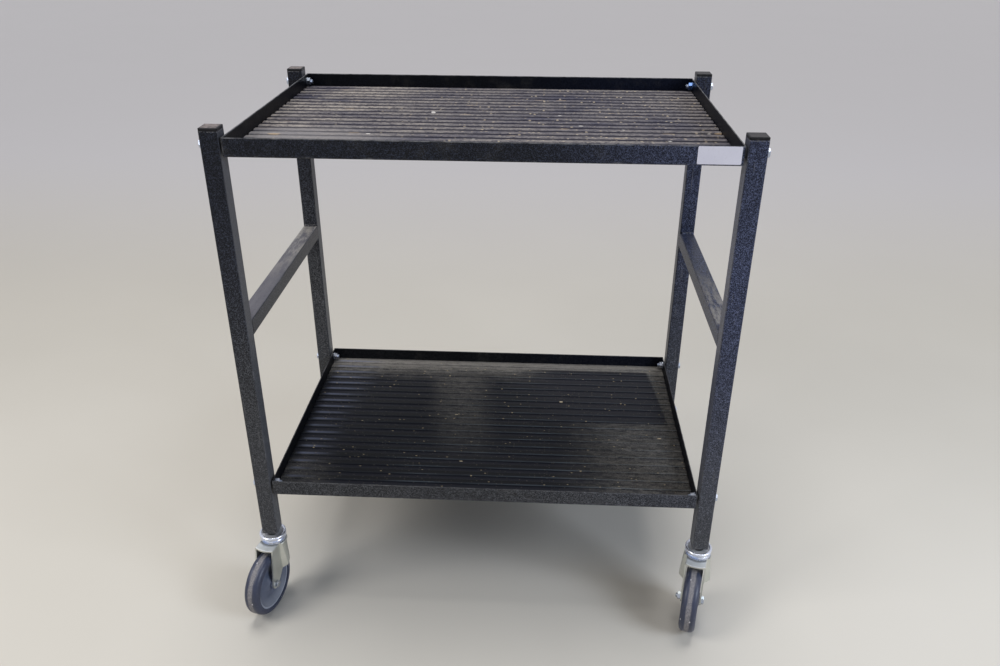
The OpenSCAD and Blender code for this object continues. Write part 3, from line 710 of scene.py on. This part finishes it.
def disc_plastic(corner):
    """Slate plastic with fine turned rings, painted light on the lower part of the dish, dust and a pale line
    round the rim.
    """
    s = Shader("plastic_disc_" + corner)
    side, ahead, up, radius = wheel_coords(s, corner)

    # Laid out over so short a way round that the noise is drawn out into rings
    turn = s.math("ARCTAN2", up, ahead)
    rings = s.noise(500, detail=3, vector=s.join(s.mul(turn, 4 * MM), 0.0, radius))
    patch = s.noise(60, detail=4, rough=0.6)
    colour = s.mix(patch, rgb(70, 78, 98), rgb(98, 106, 128))
    # Painted light: the lower part of the dish is lighter, as if it caught the light from above
    low = s.mul(s.step(up, 10 * MM, -45 * MM), s.step(radius, 20 * MM, 46 * MM), 0.5)
    colour = s.mix(low, colour, rgb(150, 154, 164))
    rim = s.step(radius, DISC_R - 3.8 * MM, DISC_R - 3.2 * MM)
    rim = s.mul(rim, s.step(s.size(side), 11.2 * MM, 12.2 * MM))
    colour = s.mix(s.mul(rim, 0.85), colour, rgb(166, 172, 186))
    dusty = s.mul(s.step(s.noise(170, detail=5, rough=0.7), 0.5, 0.75), 0.3)
    colour = s.mix(dusty, colour, rgb(134, 134, 138))
    s.set(base_color=colour, roughness=s.range(rings, 0.28, 0.50))
    s.bump(rings, 0.1 * MM, 0.5)
    return s.mat


def axle_zinc(corner):
    """Bright zinc of an axle bolt and its nut, threaded on the bolt's end."""
    s, _, grain = zinc("zinc_axle_" + corner, rgb(206, 212, 222), rgb(176, 182, 190), 0.22)
    side, _, _, radius = wheel_coords(s, corner)
    shank = s.step(radius, AXLE_THREAD_R + 0.3 * MM, AXLE_THREAD_R)
    ends = s.step(s.size(side), AXLE_THREAD_FROM, AXLE_THREAD_FROM + 1 * MM)
    thread(s, grain, s.mul(shank, ends), side)
    return s.mat


def fork_zinc(corner):
    """Satin zinc on pressed sheet, with a yellow green cast, long draw marks and a paler dull crown, which
    has a painted highlight along its outer edge and a painted shadow ring round the cup.
    """
    s, grain = metal("zinc_fork_" + corner)
    cloud = s.noise(30, detail=4, rough=0.6)
    marks = s.noise(260, detail=4, rough=0.6, vector=s.stretch(1, 1, 0.12))
    crown = s.facing_up()
    radius = swivel_radius(s, corner)
    pale = s.mix(s.noise(110, detail=3), rgb(166, 171, 168), rgb(206, 208, 212))
    # Painted highlight along the crown's outer edge
    pale = s.mix(s.step(radius, CUP_R + 12.0 * MM, CUP_R + 14.5 * MM), pale, rgb(228, 230, 232))
    # Painted shadow in a ring round the cup
    pale = s.mix(s.mul(s.step(radius, CUP_R + 3 * MM, CUP_R), 0.7), pale, rgb(92, 94, 96))
    colour = s.mix(cloud, rgb(190, 192, 185), rgb(226, 227, 220))
    colour = s.mix(s.mul(crown, 0.9), colour, pale)
    rough = s.range(s.add(grain, crown), 0.32, 0.62, 0.3, 1.8)
    s.set(base_color=colour, metallic=s.range(crown, 0.85, 0.35), roughness=rough)
    s.bump(s.add(s.mul(marks, 0.6), s.mul(grain, 0.4)), 0.18 * MM, 0.6)
    return s.mat


def cup_zinc(corner):
    """Bright zinc with a painted bluish reflection round the bead, and dull pale grey on the sheltered floor
    of the cup.
    """
    s, grain = metal("zinc_cup_" + corner)
    radius = swivel_radius(s, corner)
    inside = s.step(radius, CUP_R - 5.0 * MM, CUP_R - 6.5 * MM)
    inside = s.mul(inside, s.step(s.z, FOOT_Z - 8.8 * MM, FOOT_Z - 7.6 * MM))
    bead = s.step(radius, CUP_R - 2.3 * MM, CUP_R - 1.7 * MM)
    bead = s.mul(bead, s.step(s.z, FOOT_Z - 11.8 * MM, FOOT_Z - 13.8 * MM))
    cloud = s.noise(70, detail=3)
    colour = s.mix(cloud, rgb(214, 219, 234), rgb(240, 243, 252))
    # Painted reflection: bluish round the bead
    colour = s.mix(s.mul(bead, s.step(cloud, 0.40, 0.60)), colour, rgb(168, 186, 230))
    colour = s.mix(inside, colour, s.mix(cloud, rgb(150, 151, 152), rgb(196, 197, 200)))
    rough = s.add(s.range(grain, 0.20, 0.32), s.mul(inside, 0.30))
    s.set(base_color=colour, metallic=s.range(inside, 0.85, 0.25), roughness=rough)
    s.bump(grain, 0.06 * MM, 0.5)
    return s.mat


for corner in CORNERS:
    dress(fork_zinc(corner), "fork_" + corner)
    dress(cup_zinc(corner), "head_cup_" + corner)
    dress(tyre_rubber(corner), "tyre_" + corner)
    dress(disc_plastic(corner), "wheel_disc_" + corner)
    dress(axle_zinc(corner), "axle_bolt_" + corner, "axle_nut_" + corner)


# Blank label

def label_film():
    """Pale film with a soft shine and a little dirt."""
    s = Shader("label_film")
    soft = s.noise(40, detail=4)
    dirt = s.step(s.noise(260, detail=5, rough=0.7), 0.55, 0.8)
    colour = s.mix(soft, rgb(206, 205, 220), rgb(216, 215, 228))
    colour = s.mix(s.mul(dirt, 0.25), colour, rgb(150, 148, 156))
    s.set(base_color=colour, roughness=s.range(soft, 0.34, 0.44))
    s.bump(soft, 0.2 * MM, 0.4)
    return s.mat


dress(label_film(), "blank_label")


# Floor, light and background
FLOOR_HALF = 40.0
NEAR_FLOOR_END, FAR_FLOOR_START = 0.9, 3.0
LAMP_AIM = Vector((0, 0, 0.5))
LAMP_SIZE = 1.2


def floor_paint():
    """Pale warm grey near the part, turning neutral behind it."""
    s = Shader("floor_paint")
    cloud = s.noise(1.6, detail=3)
    near = s.mix(cloud, rgb(203, 199, 191), rgb(211, 207, 200))
    colour = s.mix(s.step(s.y, NEAR_FLOOR_END, FAR_FLOOR_START), near, rgb(214, 212, 216))
    s.set(base_color=colour, roughness=s.range(cloud, 0.50, 0.60), specular_ior_level=0.3)
    return s.mat


def add_floor():
    half = FLOOR_HALF
    corners = [(-half, -half, 0), (half, -half, 0), (half, half, 0), (-half, half, 0)]
    mesh = bpy.data.meshes.new("floor")
    mesh.from_pydata(corners, [], [(0, 1, 2, 3)])
    mesh.materials.append(floor_paint())
    add_object("floor", mesh)


def add_lamp(name, place, power, colour):
    """A square soft lamp that looks at the middle of the part."""
    data = bpy.data.lights.new(name, "AREA")
    data.shape = "SQUARE"
    data.size = LAMP_SIZE
    data.energy = power
    data.color = colour
    lamp = add_object(name, data)
    lamp.location = place
    lamp.rotation_euler = (LAMP_AIM - Vector(place)).to_track_quat("-Z", "Y").to_euler()


def add_sun(turn, tilt, spread, strength, colour):
    """A wide sun, all of whose angles are in degrees."""
    data = bpy.data.lights.new("sun", "SUN")
    data.angle = math.radians(spread)
    data.energy = strength
    data.color = colour
    sun = add_object("sun", data)
    sun.rotation_euler = (math.radians(tilt), 0, math.radians(turn))


def add_sky():
    """Weak light from all round, and a plain pale background that the camera and reflections see."""
    world = bpy.data.worlds.new("studio")
    world.use_nodes = True
    tree = world.node_tree
    light = tree.nodes["Background"]
    light.inputs["Color"].default_value = (0.97, 0.98, 1.0, 1)
    light.inputs["Strength"].default_value = 0.12
    plain = tree.nodes.new("ShaderNodeBackground")
    plain.inputs["Color"].default_value = (0.62, 0.63, 0.67, 1)
    plain.inputs["Strength"].default_value = 1.0
    path = tree.nodes.new("ShaderNodeLightPath")
    seen = path.outputs["Is Camera Ray"]
    for ray in ("Is Glossy Ray", "Is Transmission Ray"):
        either = tree.nodes.new("ShaderNodeMath")
        either.operation = "MAXIMUM"
        tree.links.new(seen, either.inputs[0])
        tree.links.new(path.outputs[ray], either.inputs[1])
        seen = either.outputs[0]
    both = tree.nodes.new("ShaderNodeMixShader")
    tree.links.new(seen, both.inputs[0])
    tree.links.new(light.outputs[0], both.inputs[1])
    tree.links.new(plain.outputs[0], both.inputs[2])
    tree.links.new(both.outputs[0], tree.nodes["World Output"].inputs[0])
    bpy.context.scene.world = world


add_floor()
add_sky()
add_sun(turn=180, tilt=10, spread=30, strength=1.66, colour=(1.0, 0.985, 0.96))
add_lamp("left", (-2.0, -1.2, 2.3), power=34, colour=(1.0, 0.98, 0.95))
add_lamp("right", (2.4, -1.5, 1.8), power=48, colour=(0.80, 0.88, 1.0))
bpy.context.scene.view_settings.view_transform = "Standard"
